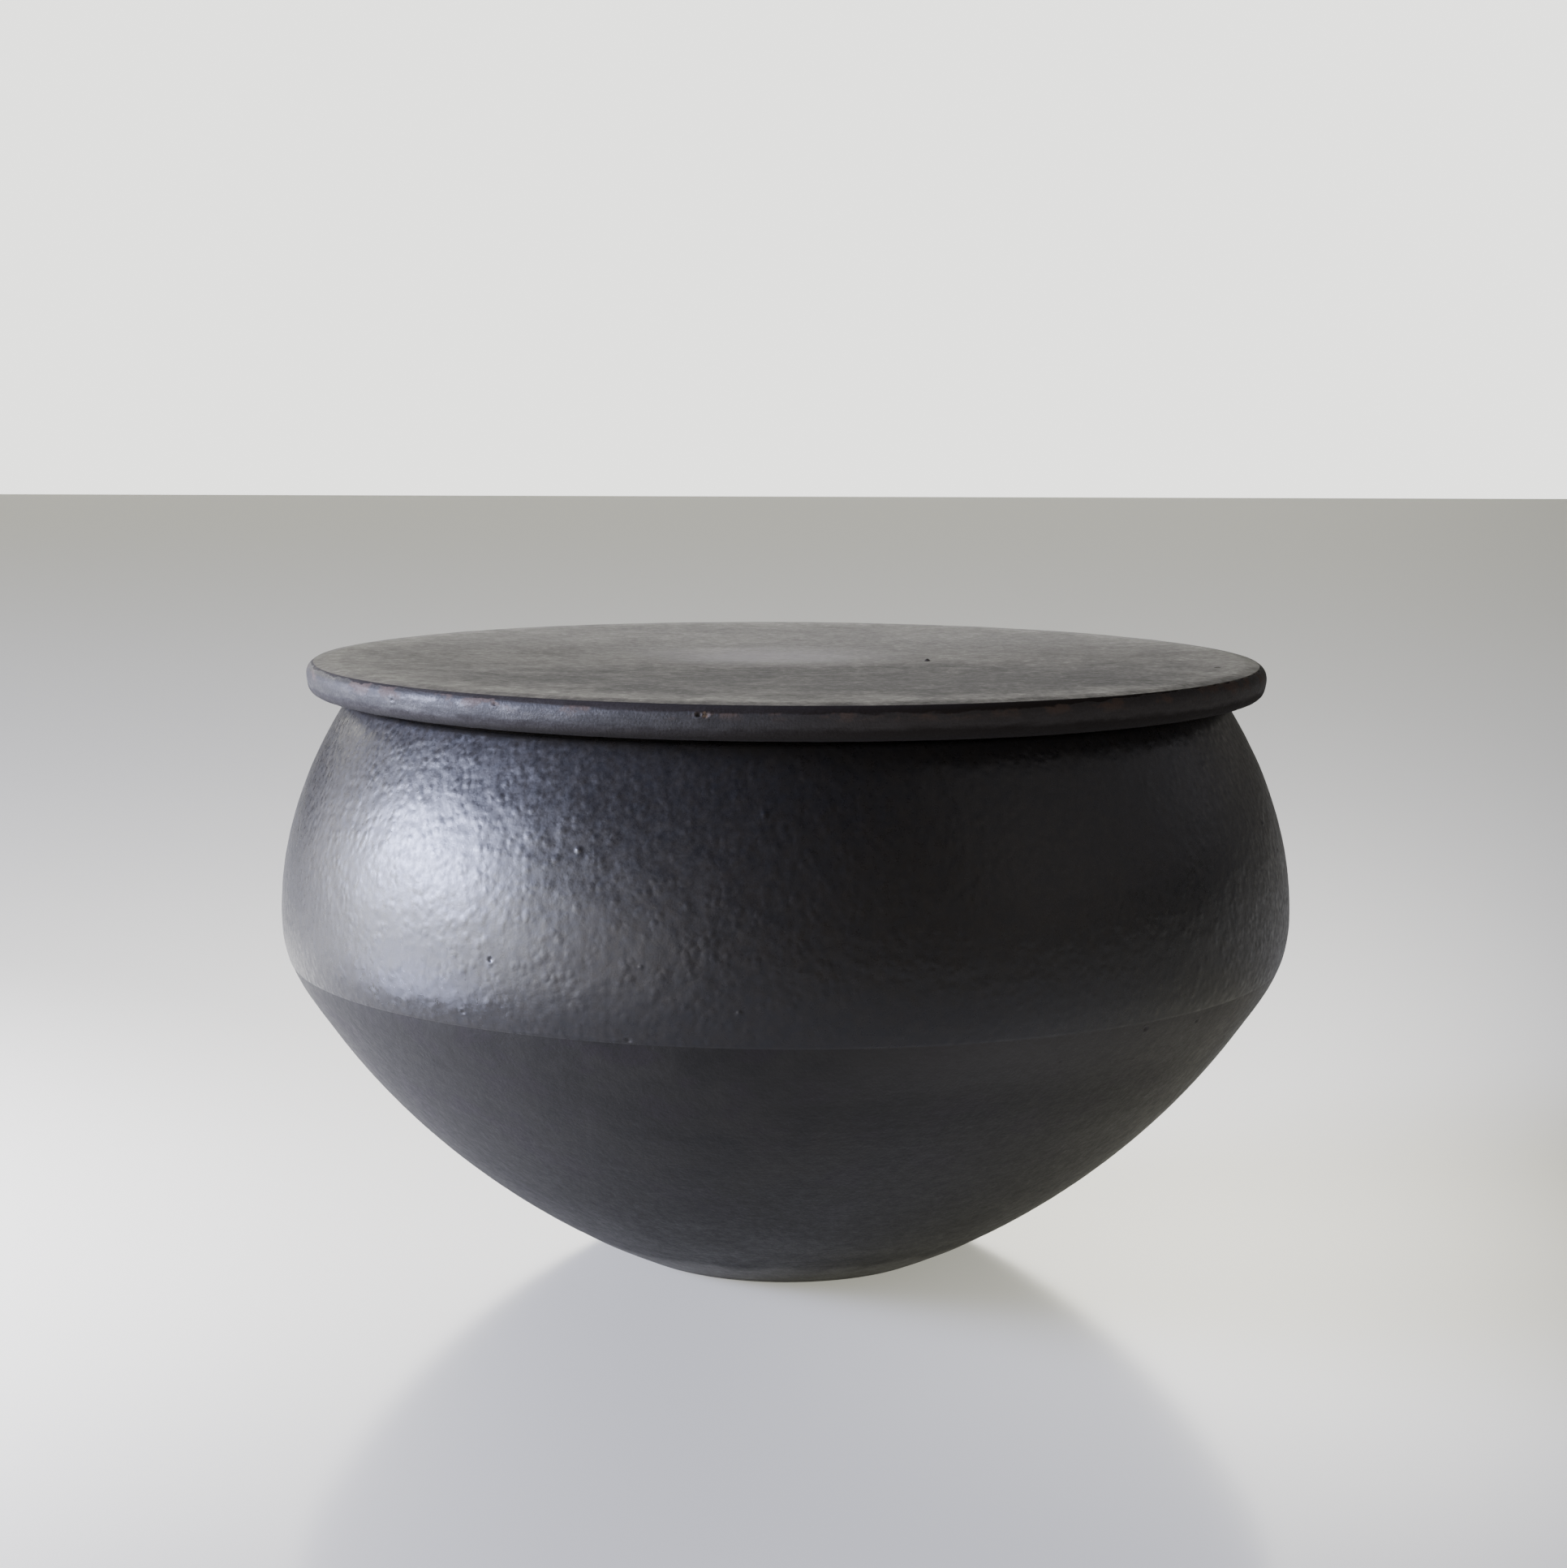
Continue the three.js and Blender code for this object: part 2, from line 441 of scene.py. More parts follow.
def jar_outline():
    """The jar's profile in stretches: from the axis underneath, up the outside and down the inside."""
    outside = jar_outside()
    floor = FOOT_RECESS_DEPTH + FLOOR_THICKNESS
    wall = outside - normals(outside) * WALL
    wall = wall[(wall[:, 1] > 2 * floor) & (wall[:, 1] < MOUTH_HEIGHT - EDGE_RADIUS)]
    climb = wall[1] - wall[0]
    slope = math.degrees(math.atan2(climb[0], climb[1]))
    recess = FOOT_RADIUS - FOOT_RING_WIDTH
    inside = join([0, floor], [recess, floor], sweep((recess, floor), 90, wall[0], slope, 0.36), wall)
    lip_out, lip_in = (LIP_RADIUS, MOUTH_HEIGHT), (MOUTH_RADIUS, MOUTH_HEIGHT)
    below = [(0, FOOT_RECESS_DEPTH), (recess, FOOT_RECESS_DEPTH), (recess, 0), (FOOT_RADIUS, 0)]
    under = join(
        paced(join([below[0]], [below[1]]), COARSE_STEP)[:-1],
        round_corner(below[0], below[1], below[2], RECESS_EDGE_RADIUS),
        round_corner(below[1], below[2], below[3], RECESS_EDGE_RADIUS),
        paced(join([below[2]], [below[3]]), EDGE_STEP)[1:-1],
    )
    outer_edge = round_corner(outside[-3], lip_out, lip_in, EDGE_RADIUS)
    lip = join(
        outer_edge[-1:],
        paced(join([lip_out], [lip_in]), EDGE_STEP)[2:-2],
        round_corner(lip_out, lip_in, inside[-1], EDGE_RADIUS),
    )
    outside = join(outside[:-2], outer_edge)
    trimmed = outside[:, 1] < CREASE_HEIGHT
    inside = paced(inside[::-1], COARSE_STEP)
    wall = [(outside[trimmed], TRIMMED), (outside[~trimmed], SKIN)]
    return [(under, BARE), *wall, (lip, BARE), (inside, INSIDE)]


def upper_relief(angle, z, place):
    """The step at the crease with its crumbs of clay, and above it the rings and the swell of the skin."""
    above = smooth(z, CREASE_HEIGHT - 0.3, CREASE_HEIGHT + 0.2)
    step = CREASE_STEP - CREASE_STEP_CHANGE * np.cos(angle)
    around = (np.degrees(angle) + 90) % 360
    sectors = sum(ridge(around, middle, width) for middle, width in BURR_SECTORS)
    crumbs = sectors * ridge(z, CREASE_HEIGHT + 0.4, 1.6) * smooth(lumps(place, 1.3), -0.1, 0.6)
    upper = step * (above - 1) + BURR_HEIGHT * crumbs + 0.035 * above * lumps(place, 8, 2)
    rings = 0.012 * np.sin(z / OUTER_RING_PITCH * 2 * math.pi + angle + 2 * lumps(place, 40, 1))
    shoulder = 0.05 * ridge(z, SHOULDER_BAND_HEIGHT + 0.8 * np.sin(angle * 2), 9)
    return upper + rings * above + shoulder * above


def lower_relief(z, place):
    """The line and the nick round the foot, and the fine marks of the trimming tool below the crease."""
    line = FOOT_LINE_HEIGHT + 0.4 * lumps(place * (1, 1, 0), 30)
    groove = -0.05 * ridge(z, line, 2.4) + 0.07 * ridge(z, line - 3.4, 5.0)
    nick = -0.1 * ridge(z, FOOT_NICK_HEIGHT, 0.8)
    above = smooth(z, CREASE_HEIGHT - 0.3, CREASE_HEIGHT + 0.2)
    return groove + nick + 0.02 * lumps(place * (0.04, 0.04, 1), 1.2, 3) * (1 - above)


def jar_relief(angle, r, z, part):
    """How the jar's surface differs from a perfect turning, in millimetres."""
    place = np.column_stack([r * np.cos(angle), r * np.sin(angle), z])
    skin, inner, bare = part <= TRIMMED, part == INSIDE, part == BARE
    oval = 0.12 * np.cos(2 * angle + 0.7) + 0.08 * np.cos(3 * angle + 2.1)
    push = oval * smooth(z, 5, 40) + skin * (upper_relief(angle, z, place) + lower_relief(z, place))
    swirl = np.sin((z + np.maximum(0, 60 - r) * 0.9) / INNER_RING_PITCH * 2 * math.pi + angle)
    push = push + inner * (0.22 * swirl * smooth(r, 3, 25) + 0.12 * lumps(place, 14))
    standing = z < 1
    push = push + bare * 0.05 * (lumps(place, 2.5, 3) - standing)
    return push, np.zeros_like(push)


def on_jar(degrees_round, height):
    """The point of the jar's outside at an angle round from the front, and a height."""
    line = jar_outside()
    r = np.interp(height, line[:, 1], line[:, 0])
    angle = math.radians(degrees_round - 90)
    return r * math.cos(angle), r * math.sin(angle), height


def jar_marks():
    """The marks that the photograph shows, and others like them on the sides that it doesn't."""
    marks = list(JAR_MARKS)
    rng = random.Random(11)
    for _ in range(HIDDEN_MARKS):
        nub = rng.random() < NUB_SHARE
        width = rng.uniform(*HIDDEN_WIDTHS)
        height = rng.uniform(*(NUB_HEIGHTS if nub else PIT_HEIGHTS))
        around = rng.uniform(*HIDDEN_SECTOR)
        marks.append((around, height, width, width * (NUB_DEPTH if nub else PIT_DEPTH)))
    return [(on_jar(around, height), width, depth) for around, height, width, depth in marks]


# The lid

TOP, RIM, UNDER = range(3)


def lid_outline():
    """The lid's profile in stretches: from the axis underneath, round the rim and over the top."""
    crest = (LID_RADIUS - CREST_INSET, LID_TOP)
    edge = (LID_RADIUS - EDGE_INSET, LID_TOP - EDGE_DROP)
    nose = (LID_RADIUS, LID_TOP - NOSE_DROP)
    face = (LID_RADIUS - FACE_INSET, LID_TOP - FACE_DROP)
    undercut = (LID_RADIUS - UNDERCUT_WIDTH, LID_UNDERSIDE + UNDERCUT_RISE)
    ring_inner = RING_OUTER_RADIUS - RING_WIDTH
    inner_top, inner_foot = (ring_inner, LID_UNDERSIDE), (ring_inner, LID_RING_FOOT)
    outer_top, outer_foot = (RING_OUTER_RADIUS, LID_UNDERSIDE), (RING_OUTER_RADIUS, LID_RING_FOOT)
    centre = (0, LID_UNDERSIDE)
    inner_corner = round_corner(centre, inner_top, inner_foot, EDGE_RADIUS)
    under = join(
        paced(join([centre], inner_corner[:1]), COARSE_STEP),
        inner_corner,
        paced(join([inner_corner[-1]], [inner_foot]), EDGE_STEP)[1:-2],
        round_corner(inner_top, inner_foot, outer_foot, EDGE_RADIUS),
        paced(join([inner_foot], [outer_foot]), EDGE_STEP)[3:-3],
        round_corner(inner_foot, outer_foot, outer_top, EDGE_RADIUS),
        paced(join([outer_foot], [outer_top]), EDGE_STEP)[2:],
        paced(join([outer_top], [undercut]), EDGE_STEP),
    )
    rim = join(
        sweep(undercut, 75, face, 14, 0.38),
        sweep(face, 14, nose, 0, 0.33),
        sweep(nose, 0, edge, -58, 0.42),
    )
    margin = sweep(crest, 90, edge, 97, 0.33)[::-1]
    top = sweep((0, LID_TOP - LID_DISH_DEPTH), 90, crest, 90, 0.4)[::-1]
    whole_top = [(paced(margin, MARGIN_STEP), TOP), (paced(top, TOP_STEP), TOP)]
    return [(under, UNDER), (paced(rim, RIM_STEP), RIM), *whole_top]


def lid_relief(angle, r, z, part):
    """How the lid's surface differs from a perfect turning, in millimetres."""
    place = np.column_stack([r * np.cos(angle), r * np.sin(angle), z])
    top, rim, bare = (part == k for k in (TOP, RIM, UNDER))
    lift = LID_BACK_LIFT * (1 + np.sin(angle)) - LID_LEFT_LIFT * np.cos(angle)
    warp = lift * (r / LID_RADIUS) ** 3
    rings = 0.018 * lumps(np.column_stack([r, 3 * np.cos(angle), 3 * np.sin(angle)]), 3.5, 3)
    swell = 0.12 * ridge(r, 36, 16) - 0.08 * ridge(r, 58, 22)
    calm = 1 - 0.7 * smooth(r, LID_RADIUS - 4, LID_RADIUS - EDGE_INSET)
    uneven = rings + swell + 0.05 * lumps(place, 12) + 0.02 * lumps(place, 2.5)
    push = top * smooth(r, 0, 6) * calm * uneven
    below = smooth(LID_TOP - z, EDGE_DROP, EDGE_DROP + 1.2)
    push = push + rim * below * (0.06 * lumps(place, 6, 3) + 0.03 * lumps(place * (0.25, 0.25, 1), 1.2, 2))
    push = push + bare * 0.05 * lumps(place, 2.5, 3)
    return push, warp


# Shader nodes


def node(tree, kind, inputs=None, **settings):
    """A new shader node. An input is a value, or another node's output, which is then linked."""
    made = tree.nodes.new("ShaderNode" + kind)
    for name, value in settings.items():
        setattr(made, name, value)
    for name, value in (inputs or {}).items():
        if isinstance(value, bpy.types.NodeSocket):
            tree.links.new(value, made.inputs[name])
        else:
            made.inputs[name].default_value = value
    return made


def calc(tree, operation, *values):
    """One arithmetic step on numbers or outputs."""
    return node(tree, "Math", dict(enumerate(values)), operation=operation).outputs[0]


def times(tree, a, b):
    """The product of two numbers or outputs."""
    return calc(tree, "MULTIPLY", a, b)


def plus(tree, value, *others):
    """The sum of some numbers or outputs."""
    for other in others:
        value = calc(tree, "ADD", value, other)
    return value


def shifted(tree, value, *changes):
    """A value that changes by so much where a share is 1. Each change is (share, amount)."""
    return plus(tree, value, *[times(tree, share, amount) for share, amount in changes])


def vector_calc(tree, operation, a, b=None):
    """One step on vectors or outputs, which gives a vector, or the number that a measure of one comes to."""
    inputs = {0: a} if b is None else {0: a, "Scale" if operation == "SCALE" else 1: b}
    made = node(tree, "VectorMath", inputs, operation=operation)
    return made.outputs["Value" if operation in ("DOT_PRODUCT", "DISTANCE", "LENGTH") else "Vector"]


def ramp(tree, value, low, high, at_low=0.0, at_high=1.0, curve="SMOOTHSTEP"):
    """A value taken smoothly from at_low to at_high as it goes from low to high."""
    inputs = {"Value": value, "From Min": low, "From Max": high, "To Min": at_low, "To Max": at_high}
    return node(tree, "MapRange", inputs, interpolation_type=curve).outputs[0]


def fade(tree, distance, low, high, at_low=0.0, at_high=1.0):
    """The same for a distance, which goes from low to high in millimetres."""
    return ramp(tree, distance, low * MM, high * MM, at_low, at_high)


def spread(tree, value, low, high, at_low=0.0, at_high=1.0):
    """A value taken in a straight line from at_low to at_high as it goes from low to high."""
    return ramp(tree, value, low, high, at_low, at_high, "LINEAR")


def swing(tree, value, reach):
    """Noise taken to a change that runs from minus the reach to the reach."""
    return spread(tree, value, 0.3, 0.7, -reach, reach)


def grain(tree, place, size, stretch=(1, 1, 1), detail=2.0, rough=0.5):
    """Noise from 0 to 1 with lumps so many millimetres wide, drawn out by the stretch along X, Y and Z."""
    at = vector_calc(tree, "MULTIPLY", place, [1 / (size * MM * s) for s in stretch])
    inputs = {"Vector": at, "Scale": 1.0, "Detail": detail, "Roughness": rough}
    return node(tree, "TexNoise", inputs).outputs[0]


def blend(tree, share, a, b):
    """Colour a where the share is 0, and colour b where it is 1."""
    a, b = (colour if isinstance(colour, bpy.types.NodeSocket) else (*colour, 1) for colour in (a, b))
    return node(tree, "Mix", {"Factor": share, 6: a, 7: b}, data_type="RGBA").outputs[2]


def clay(name):
    """A new material with its tree, its main shader and the place on the piece, in the piece's own frame."""
    material = bpy.data.materials.new(name)
    material.use_nodes = True
    tree = material.node_tree
    place = node(tree, "TexCoord").outputs["Object"]
    return material, tree, tree.nodes["Principled BSDF"], place


def coat(tree, shader, colour, roughness, ior):
    """Gives a shader its colour and roughness, and the strength of its reflections."""
    tree.links.new(colour, shader.inputs["Base Color"])
    tree.links.new(roughness, shader.inputs["Roughness"])
    shader.inputs["IOR"].default_value = ior


def cells(tree, place, size):
    """Round grains from 0 between them to 1 in their middles, so many millimetres apart."""
    inputs = {"Vector": vector_calc(tree, "SCALE", place, 1 / (size * MM)), "Scale": 1.0, "Smoothness": 0.4}
    away = node(tree, "TexVoronoi", inputs, feature="SMOOTH_F1").outputs["Distance"]
    return ramp(tree, away, 0.75, 0.05)


def nearness(tree, place, centre, radius, soft):
    """1 at a point in millimetres, and 0 from the radius on, with a soft edge."""
    apart = vector_calc(tree, "DISTANCE", place, tuple(v * MM for v in centre))
    return fade(tree, apart, radius, radius - soft)


def plan_distance(tree, place, centre, reach):
    """How far a place lies from a point seen from above, as a share of the reach across and in depth."""
    away = vector_calc(tree, "SUBTRACT", place, (centre[0] * MM, centre[1] * MM, 0))
    share = vector_calc(tree, "MULTIPLY", away, (1 / (reach[0] * MM), 1 / (reach[1] * MM), 0))
    return vector_calc(tree, "LENGTH", share)


def relief_of(tree, shader, heights):
    """Bumps the surface by a sum of (output from 0 to 1, millimetres)."""
    total = plus(tree, *[times(tree, value, depth * MM) for value, depth in heights])
    bump = node(tree, "Bump", {"Height": total, "Strength": 1.0, "Distance": 1.0})
    tree.links.new(bump.outputs["Normal"], shader.inputs["Normal"])


def stroke(tree, place, start, end, width):
    """1 along a straight scratch between two points in millimetres, and 0 from half its width on."""
    start, end = Vector(start) * MM, Vector(end) * MM
    run = end - start
    ahead = vector_calc(tree, "SUBTRACT", place, start)
    share = vector_calc(tree, "DOT_PRODUCT", ahead, tuple(run / run.length_squared))
    share = node(tree, "Clamp", {"Value": share}).outputs[0]
    nearest = vector_calc(tree, "SCALE", tuple(run), share)
    return fade(tree, vector_calc(tree, "DISTANCE", ahead, nearest), width / 2, 0)


def scratches(tree, place, wear):
    """1 along the jar's scratches, which break off where the wear is low."""
    found = None
    for start, end in SCRATCHES:
        one = stroke(tree, place, on_jar(*start), on_jar(*end), SCRATCH_WIDTH)
        found = one if found is None else calc(tree, "MAXIMUM", found, one)
    return times(tree, found, ramp(tree, wear, 0.3, 0.55))


# Materials


def jar_skin():
    """The outside above the crease: a dark satin skin, grainy like fine sandpaper under a thin glaze."""
    material, tree, shader, place = clay("jar_skin")
    patchy = ramp(tree, grain(tree, place, 5.0, detail=2.0), 0.35, 0.65, 0.3, 1.5)
    pebbles = times(tree, cells(tree, place, 2.0), patchy)
    fine = grain(tree, place, 0.5, detail=1.0)
    swell = grain(tree, place, 4.2, detail=1.0)
    turning = grain(tree, place, 1.3, stretch=(30, 30, 1), detail=3.0, rough=0.6)
    patches = grain(tree, place, 30, detail=3.0)
    flecks = grain(tree, place, 0.8, detail=3.0, rough=0.7)
    tint = grain(tree, place, 3.0, detail=3.0, rough=0.7)
    rubbed = grain(tree, place, 1.4, detail=2.0, rough=0.6)
    across = node(tree, "SeparateXYZ", {0: place}).outputs["X"]
    worn = plus(
        tree,
        spread(tree, patches, 0.3, 0.7, 0.31, 0.35),
        spread(tree, rubbed, 0.32, 0.68, -0.07, 0.07),
        fade(tree, across, *JAR_DULL_SIDE, 0, 0.13),
    )
    colour = blend(tree, spread(tree, tint, 0.35, 0.65), (0.0098, 0.0096, 0.0106), (0.0132, 0.0118, 0.0112))
    colour = blend(tree, ramp(tree, flecks, 0.66, 0.8), colour, (0.024, 0.022, 0.021))
    coat(tree, shader, colour, worn, 1.365)
    relief_of(tree, shader, [(pebbles, 0.047), (fine, 0.015), (swell, 0.2), (turning, 0.012)])
    return material


def trimmed_skin():
    """The outside below the crease, where a tool trimmed it: drier, cloudy, and darker low down with painted
    shade, above a wiped foot.
    """
    material, tree, shader, place = clay("trimmed_skin")
    fine = grain(tree, place, 0.7, detail=3.0, rough=0.6)
    turning = grain(tree, place, 1.1, stretch=(30, 30, 1), detail=3.0, rough=0.6)
    bands = grain(tree, place, 6, stretch=(12, 12, 1), detail=3.0)
    patches = grain(tree, place, 13, detail=4.0, rough=0.6)
    violet = grain(tree, place, 9, stretch=(1.4, 1.4, 1), detail=3.0)
    softer = grain(tree, place, 2.4, detail=2.0)
    axes = node(tree, "SeparateXYZ", {0: place})
    across, height = axes.outputs["X"], axes.outputs["Z"]
    # Painted light: the band just below the crease is paler on the right
    pale = times(tree, fade(tree, height, *PALE_HEIGHTS), fade(tree, across, *PALE_SIDE))
    # Painted shade, darker towards the bottom
    low_shade = fade(tree, height, *LOW_SHADE_HEIGHTS)
    wavy = plus(tree, height, swing(tree, violet, WIPED_WANDER * MM))
    wiped = fade(tree, wavy, *WIPED_HEIGHTS)
    # Painted shade along the foot line's groove
    line = calc(tree, "SUBTRACT", fade(tree, wavy, *FOOT_LINE_HEIGHTS), wiped)
    scratched = scratches(tree, place, fine)
    colour = blend(tree, spread(tree, patches, 0.35, 0.65), (0.0096, 0.009, 0.0085), (0.0165, 0.0154, 0.014))
    colour = blend(tree, ramp(tree, violet, 0.52, 0.62, 0, 0.6), colour, (0.014, 0.0113, 0.013))
    colour = blend(tree, spread(tree, bands, 0.4, 0.7, 0, 0.5), colour, (0.014, 0.013, 0.012))
    colour = blend(tree, pale, colour, (0.033, 0.031, 0.029))
    colour = blend(tree, times(tree, low_shade, 0.65), colour, (0.004, 0.0038, 0.0034))
    colour = blend(tree, times(tree, line, 0.4), colour, (0.005, 0.0046, 0.0042))
    colour = blend(tree, wiped, colour, (0.031, 0.03, 0.0265))
    colour = blend(tree, scratched, colour, (0.06, 0.056, 0.05))
    worn = spread(tree, patches, 0.3, 0.7, 0.44, 0.52)
    worn = plus(tree, worn, swing(tree, fine, 0.05), swing(tree, softer, 0.04))
    worn = shifted(tree, worn, (line, 0.04), (low_shade, 0.04))
    coat(tree, shader, colour, worn, 1.255)
    relief_of(tree, shader, [(fine, 0.065), (turning, 0.03), (softer, 0.12), (scratched, 0.05)])
    return material


def inner_glaze():
    """The inside: the same dark skin, smoother, over the rings that fingers left."""
    material, tree, shader, place = clay("inner_glaze")
    patches = grain(tree, place, 22, detail=3.0)
    fine = grain(tree, place, 0.6)
    colour = blend(tree, spread(tree, patches, 0.35, 0.65), (0.012, 0.012, 0.013), (0.02, 0.018, 0.017))
    coat(tree, shader, colour, spread(tree, patches, 0.3, 0.7, 0.3, 0.42), 1.4)
    relief_of(tree, shader, [(fine, 0.03), (grain(tree, place, 2.5), 0.05)])
    return material


def bare_clay():
    """Unglazed fired clay, on the foot, the mouth's rim and the lid's underside."""
    material, tree, shader, place = clay("bare_clay")
    patches = grain(tree, place, 9, detail=4.0, rough=0.6)
    specks = grain(tree, place, 0.8, detail=2.0)
    turning = grain(tree, place, 0.9, stretch=(25, 25, 1), detail=2.0)
    warm = blend(tree, spread(tree, patches, 0.35, 0.65), (0.032, 0.027, 0.024), (0.06, 0.049, 0.041))
    colour = blend(tree, ramp(tree, specks, 0.62, 0.72), warm, (0.11, 0.09, 0.075))
    coat(tree, shader, colour, spread(tree, patches, 0.3, 0.7, 0.72, 0.85), 1.35)
    relief_of(tree, shader, [(specks, 0.08), (turning, 0.06), (grain(tree, place, 0.3), 0.03)])
    return material


def lid_skin():
    """The lid's top: dry taupe-black, cloudy, with a paler rubbed patch behind the middle."""
    material, tree, shader, place = clay("lid_skin")
    clouds = grain(tree, place, 17, detail=4.0, rough=0.6)
    blotches = grain(tree, place, 5, detail=3.0, rough=0.6)
    specks = grain(tree, place, 1.6, detail=3.0, rough=0.7)
    fine = grain(tree, place, 0.5, detail=2.0)
    wander = plus(tree, swing(tree, clouds, 0.12), swing(tree, blotches, 0.1))
    rubbed = ramp(tree, plus(tree, plan_distance(tree, place, *PALE_PATCH), wander), 1.2, 0.1)
    shade = ramp(tree, plus(tree, plan_distance(tree, place, *DARK_CLOUD), wander), 1.2, 0.5)
    axes = node(tree, "SeparateXYZ", {0: place})
    behind = fade(tree, axes.outputs["Y"], *LID_BACK)
    right = fade(tree, axes.outputs["X"], *LID_SIDE)
    out = plan_distance(tree, place, (0, 0), (LID_RADIUS, LID_RADIUS))
    margin = ramp(tree, out, 1 - MARGIN_WIDTH / LID_RADIUS, 1 - CREST_INSET / LID_RADIUS)
    colour = blend(tree, spread(tree, clouds, 0.35, 0.65), (0.0145, 0.0122, 0.0102), (0.026, 0.0224, 0.019))
    colour = blend(tree, times(tree, behind, 0.75), colour, (0.06, 0.054, 0.048))
    colour = blend(tree, times(tree, rubbed, 0.9), colour, (0.125, 0.112, 0.1))
    colour = blend(tree, times(tree, shade, 0.75), colour, (0.006, 0.005, 0.0045))
    colour = blend(tree, ramp(tree, specks, 0.56, 0.75, 0, 0.5), colour, (0.06, 0.05, 0.042))
    dry = spread(tree, clouds, 0.3, 0.7, 0.67, 0.62)
    dry = shifted(tree, dry, (shade, 0.075), (right, 0.01), (behind, -0.035))
    dry = shifted(tree, dry, (rubbed, -0.015), (margin, -0.055))
    dry = plus(tree, dry, swing(tree, specks, -0.09), swing(tree, blotches, -0.05))
    coat(tree, shader, colour, dry, 1.31)
    shader.inputs["Specular Tint"].default_value = (1.0, 0.95, 0.885, 1)
    relief_of(tree, shader, [(fine, 0.05), (specks, 0.07)])
    return material


def rim_skin():
    """The lid's rim: a dark brown line under its edge, partly painted dark reflection, below it patches rubbed
    to a bluish sheen, and painted shade where it tucks under.
    """
    material, tree, shader, place = clay("rim_skin")
    patches = grain(tree, place, 2.0, stretch=(3, 3, 0.9), detail=4.0, rough=0.65)
    stains = grain(tree, place, 5, stretch=(1.6, 1.6, 1), detail=3.0, rough=0.6)
    streaks = grain(tree, place, 0.7, stretch=(14, 14, 1), detail=3.0, rough=0.6)
    fine = grain(tree, place, 0.6, detail=3.0, rough=0.6)
    across = node(tree, "SeparateXYZ", {0: place}).outputs["X"]
    matt = fade(tree, across, *RIM_MATT_SIDE)
    polished = fade(tree, across, *RIM_POLISHED_SIDE)
    tilt = (LID_LEFT_LIFT / LID_RADIUS, -LID_BACK_LIFT / LID_RADIUS, 1)
    level = vector_calc(tree, "DOT_PRODUCT", place, tilt)
    level = plus(tree, level, swing(tree, patches, RIM_LINE_WANDER * MM))
    below = calc(tree, "SUBTRACT", (LID_TOP - EDGE_DROP + LID_BACK_LIFT) * MM, level)
    from_left = fade(tree, across, *RIM_LINE_LEFT, 0.4, 1.55)
    depth = times(tree, from_left, fade(tree, across, *RIM_LINE_RIGHT, 1, 0))
    share = calc(tree, "DIVIDE", below, plus(tree, times(tree, depth, MM), 0.05 * MM))
    # The dark brown line under the edge, partly painted dark reflection
    line = ramp(tree, share, 1.15, 0.8)
    copper = times(tree, fade(tree, below, *RIM_COPPER_DEPTHS), ramp(tree, stains, 0.5, 0.6))
    # Painted shade on the part of the rim that tucks under, which is also rougher
    tucked = fade(tree, below, *RIM_TUCKED_DEPTHS)
    glints = times(tree, ramp(tree, patches, 0.42, 0.62), ramp(tree, matt, 0, 1, 1, 0.35))
    chip = nearness(tree, place, CHIP_CENTRE, CHIP_RADIUS, 0.6)
    chip = times(tree, chip, ramp(tree, fine, 0.35, 0.6))
    colour = blend(tree, glints, (0.0115, 0.0105, 0.0105), (0.0195, 0.0185, 0.019))
    colour = blend(tree, times(tree, matt, 0.6), colour, (0.026, 0.022, 0.0205))
    colour = blend(tree, copper, colour, (0.044, 0.030, 0.0235))
    colour = blend(tree, line, colour, (0.009, 0.0062, 0.0052))
    colour = blend(tree, tucked, colour, (0.0095, 0.0075, 0.0068))
    colour = blend(tree, chip, colour, (0.12, 0.085, 0.062))
    worn = plus(tree, spread(tree, glints, 0, 1, 0.61, 0.46), spread(tree, fine, 0.3, 0.7, -0.05, 0.09))
    worn = shifted(tree, worn, (line, 0.32), (tucked, 0.25), (copper, 0.12), (matt, 0.12), (polished, -0.08))
    coat(tree, shader, colour, worn, 1.33)
    relief_of(tree, shader, [(patches, 0.08), (streaks, 0.04), (fine, 0.1)])
    return material


def floor_paint():
    """Pale and glossy, with a little even light of its own, as milk glass over a pale table has, and a painted
    pool of light to the left and painted light over the jar's shadow.
    """
    material, tree, shader, place = clay("floor_paint")
    shader.inputs["Base Color"].default_value = FLOOR_COLOUR
    shader.inputs["Roughness"].default_value = FLOOR_ROUGHNESS
    shader.inputs["IOR"].default_value = FLOOR_IOR
    # Painted light: a pool of light to the left, and a weak glow that lightens the jar's shadow
    pool = nearness(tree, place, POOL_CENTRE, POOL_RADIUS, POOL_SOFT)
    glow = blend(tree, pool, FLOOR_GLOW, [a + b for a, b in zip(FLOOR_GLOW, POOL_GLOW)])
    shadow = nearness(tree, place, SHADOW_CENTRE, SHADOW_RADIUS, SHADOW_SOFT)
    glow = blend(tree, shadow, glow, [a + b for a, b in zip(FLOOR_GLOW, SHADOW_GLOW)])
    tree.links.new(glow, shader.inputs["Emission Color"])
    shader.inputs["Emission Strength"].default_value = 1.0
    return material


# The room


def make_floor():
    """A plain floor, which belongs to the picture and not to the jar."""
    side = FLOOR_REACH * MM
    corners = [(-side, -side, 0), (side, -side, 0), (side, side, 0), (-side, side, 0)]
    mesh = bpy.data.meshes.new("floor")
    mesh.from_pydata(corners, [], [(0, 1, 2, 3)])
    mesh.materials.append(floor_paint())
    floor = bpy.data.objects.new("floor", mesh)
    bpy.context.scene.collection.objects.link(floor)


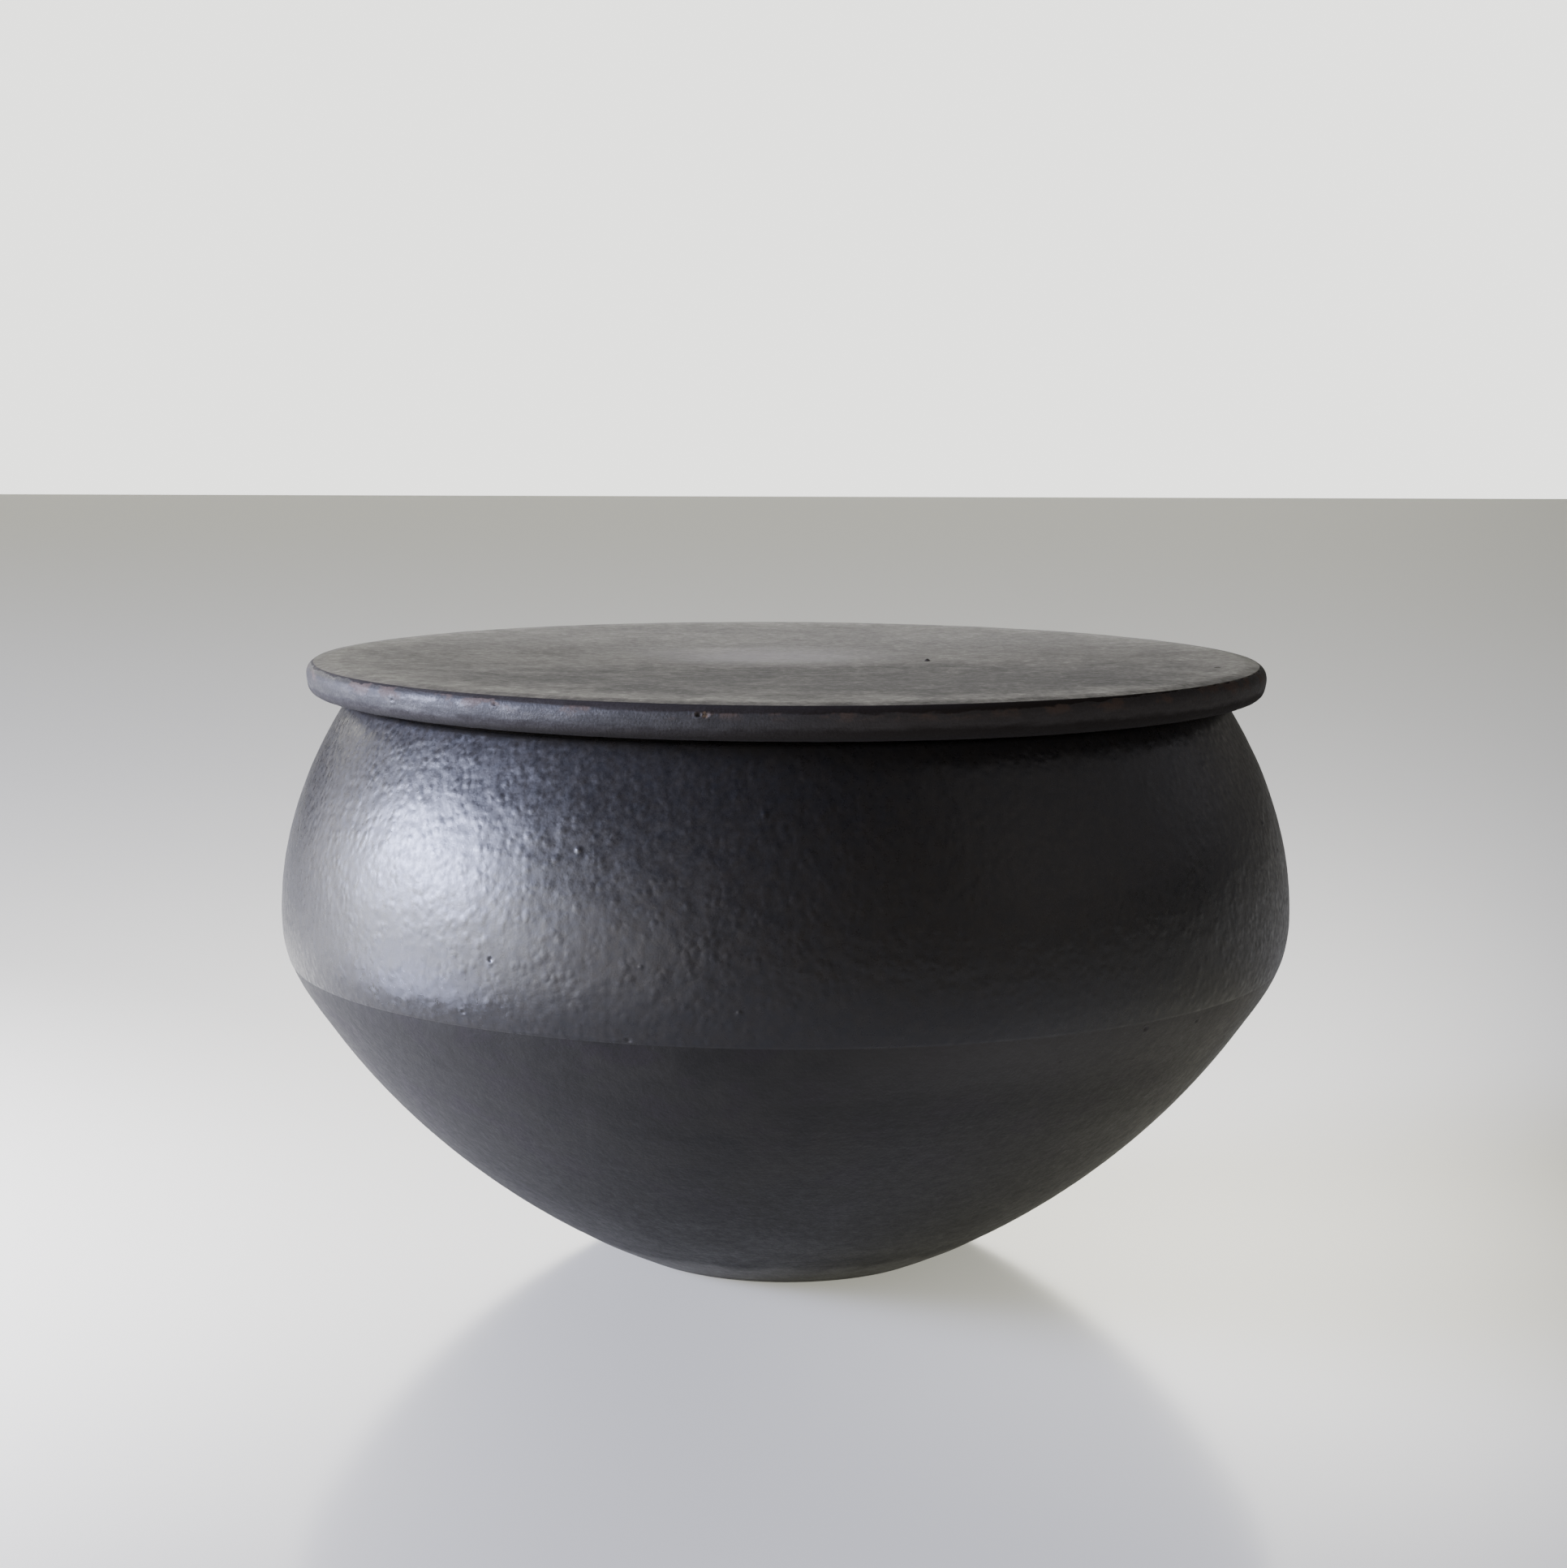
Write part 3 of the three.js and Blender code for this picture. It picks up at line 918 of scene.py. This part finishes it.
def make_window():
    """A wide window far to the left, which the camera doesn't see."""
    around = math.radians(WINDOW_AZIMUTH)
    distance = WINDOW_DISTANCE * MM
    width = 2 * distance * math.tan(math.radians(WINDOW_HALF_WIDTH))
    rises = [distance * math.tan(math.radians(angle)) for angle in (WINDOW_BOTTOM, WINDOW_TOP)]
    bottom, top = (rise + BELLY_HEIGHT * MM for rise in rises)
    out = Vector((math.cos(around), math.sin(around), 0))
    light = bpy.data.lights.new("window", "AREA")
    light.shape = "RECTANGLE"
    light.size, light.size_y = width, top - bottom
    light.energy = WINDOW_RADIANCE * math.pi * width * (top - bottom)
    light.color = WINDOW_COLOUR
    lamp = bpy.data.objects.new("window", light)
    lamp.location = out * distance + Vector((0, 0, (top + bottom) / 2))
    lamp.rotation_euler = (-out).to_track_quat("-Z", "Y").to_euler()
    lamp.visible_camera = False
    bpy.context.scene.collection.objects.link(lamp)


def glow_mask(tree, along_ground, z, azimuth, half_width, bottom, top, soft):
    """1 towards one patch of the room, and smoothly 0 outside it."""
    facing = (math.cos(math.radians(azimuth)), math.sin(math.radians(azimuth)), 0)
    ahead = vector_calc(tree, "DOT_PRODUCT", along_ground, facing)
    inner, outer = (math.cos(math.radians(half_width + s)) for s in (-soft, soft))
    side = ramp(tree, ahead, outer, inner)
    above = ramp(tree, z, math.sin(math.radians(bottom - soft)), math.sin(math.radians(bottom + soft)))
    below = ramp(tree, z, math.sin(math.radians(top - soft)), math.sin(math.radians(top + soft)), 1, 0)
    return times(tree, times(tree, side, above), below)


def make_world():
    """The room round the jar: soft patches of light, and a plain pale background for the camera."""
    world = bpy.data.worlds.new("studio")
    bpy.context.scene.world = world
    world.use_nodes = True
    tree = world.node_tree
    tree.nodes.clear()
    towards = node(tree, "TexCoord").outputs["Generated"]
    z = node(tree, "SeparateXYZ", {0: towards}).outputs["Z"]
    along_ground = vector_calc(tree, "NORMALIZE", vector_calc(tree, "MULTIPLY", towards, (1, 1, 0)))
    total = None
    for *shape, colour in GLOWS:
        part = vector_calc(tree, "SCALE", colour, glow_mask(tree, along_ground, z, *shape))
        total = part if total is None else vector_calc(tree, "ADD", total, part)
    room = node(tree, "Background", {"Color": total, "Strength": 1.0})
    backdrop = node(tree, "Background", {"Color": BACKDROP_COLOUR, "Strength": 1.0})
    seen = node(tree, "LightPath").outputs["Is Camera Ray"]
    mix = node(tree, "MixShader", {0: seen, 1: room.outputs[0], 2: backdrop.outputs[0]})
    out = node(tree, "OutputWorld")
    tree.links.new(mix.outputs[0], out.inputs["Surface"])


def make_camera():
    """The camera, where the one that took the photograph stood."""
    data = bpy.data.cameras.new("camera")
    data.lens = CAMERA_LENS
    data.sensor_width = CAMERA_SENSOR
    camera = bpy.data.objects.new("camera", data)
    tilt = math.radians(CAMERA_ELEVATION)
    aim = Vector(CAMERA_AIM) * MM
    back = Vector((0, -math.cos(tilt), math.sin(tilt)))
    look = (-back).to_track_quat("-Z", "Y").to_matrix().to_4x4()
    place = Matrix.Translation(aim + back * CAMERA_DISTANCE * MM)
    camera.matrix_world = place @ look @ Matrix.Rotation(math.radians(CAMERA_ROLL), 4, "Z")
    bpy.context.scene.collection.objects.link(camera)
    bpy.context.scene.camera = camera


bare = bare_clay()
jar = turn("jar_pot", jar_outline(), [jar_skin(), trimmed_skin(), inner_glaze(), bare], jar_relief)
lid = turn("lid_disc", lid_outline(), [lid_skin(), rim_skin(), bare], lid_relief)
mark(jar, jar_marks())
mark(lid, LID_MARKS)
for piece, node_name, body, slot in (
    (jar, "jar_body", "jar", "jar_stoneware"),
    (lid, "lid", "lid", "lid_stoneware"),
):
    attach(piece, body)
    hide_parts(node_name)

make_floor()
make_world()
make_window()
make_camera()
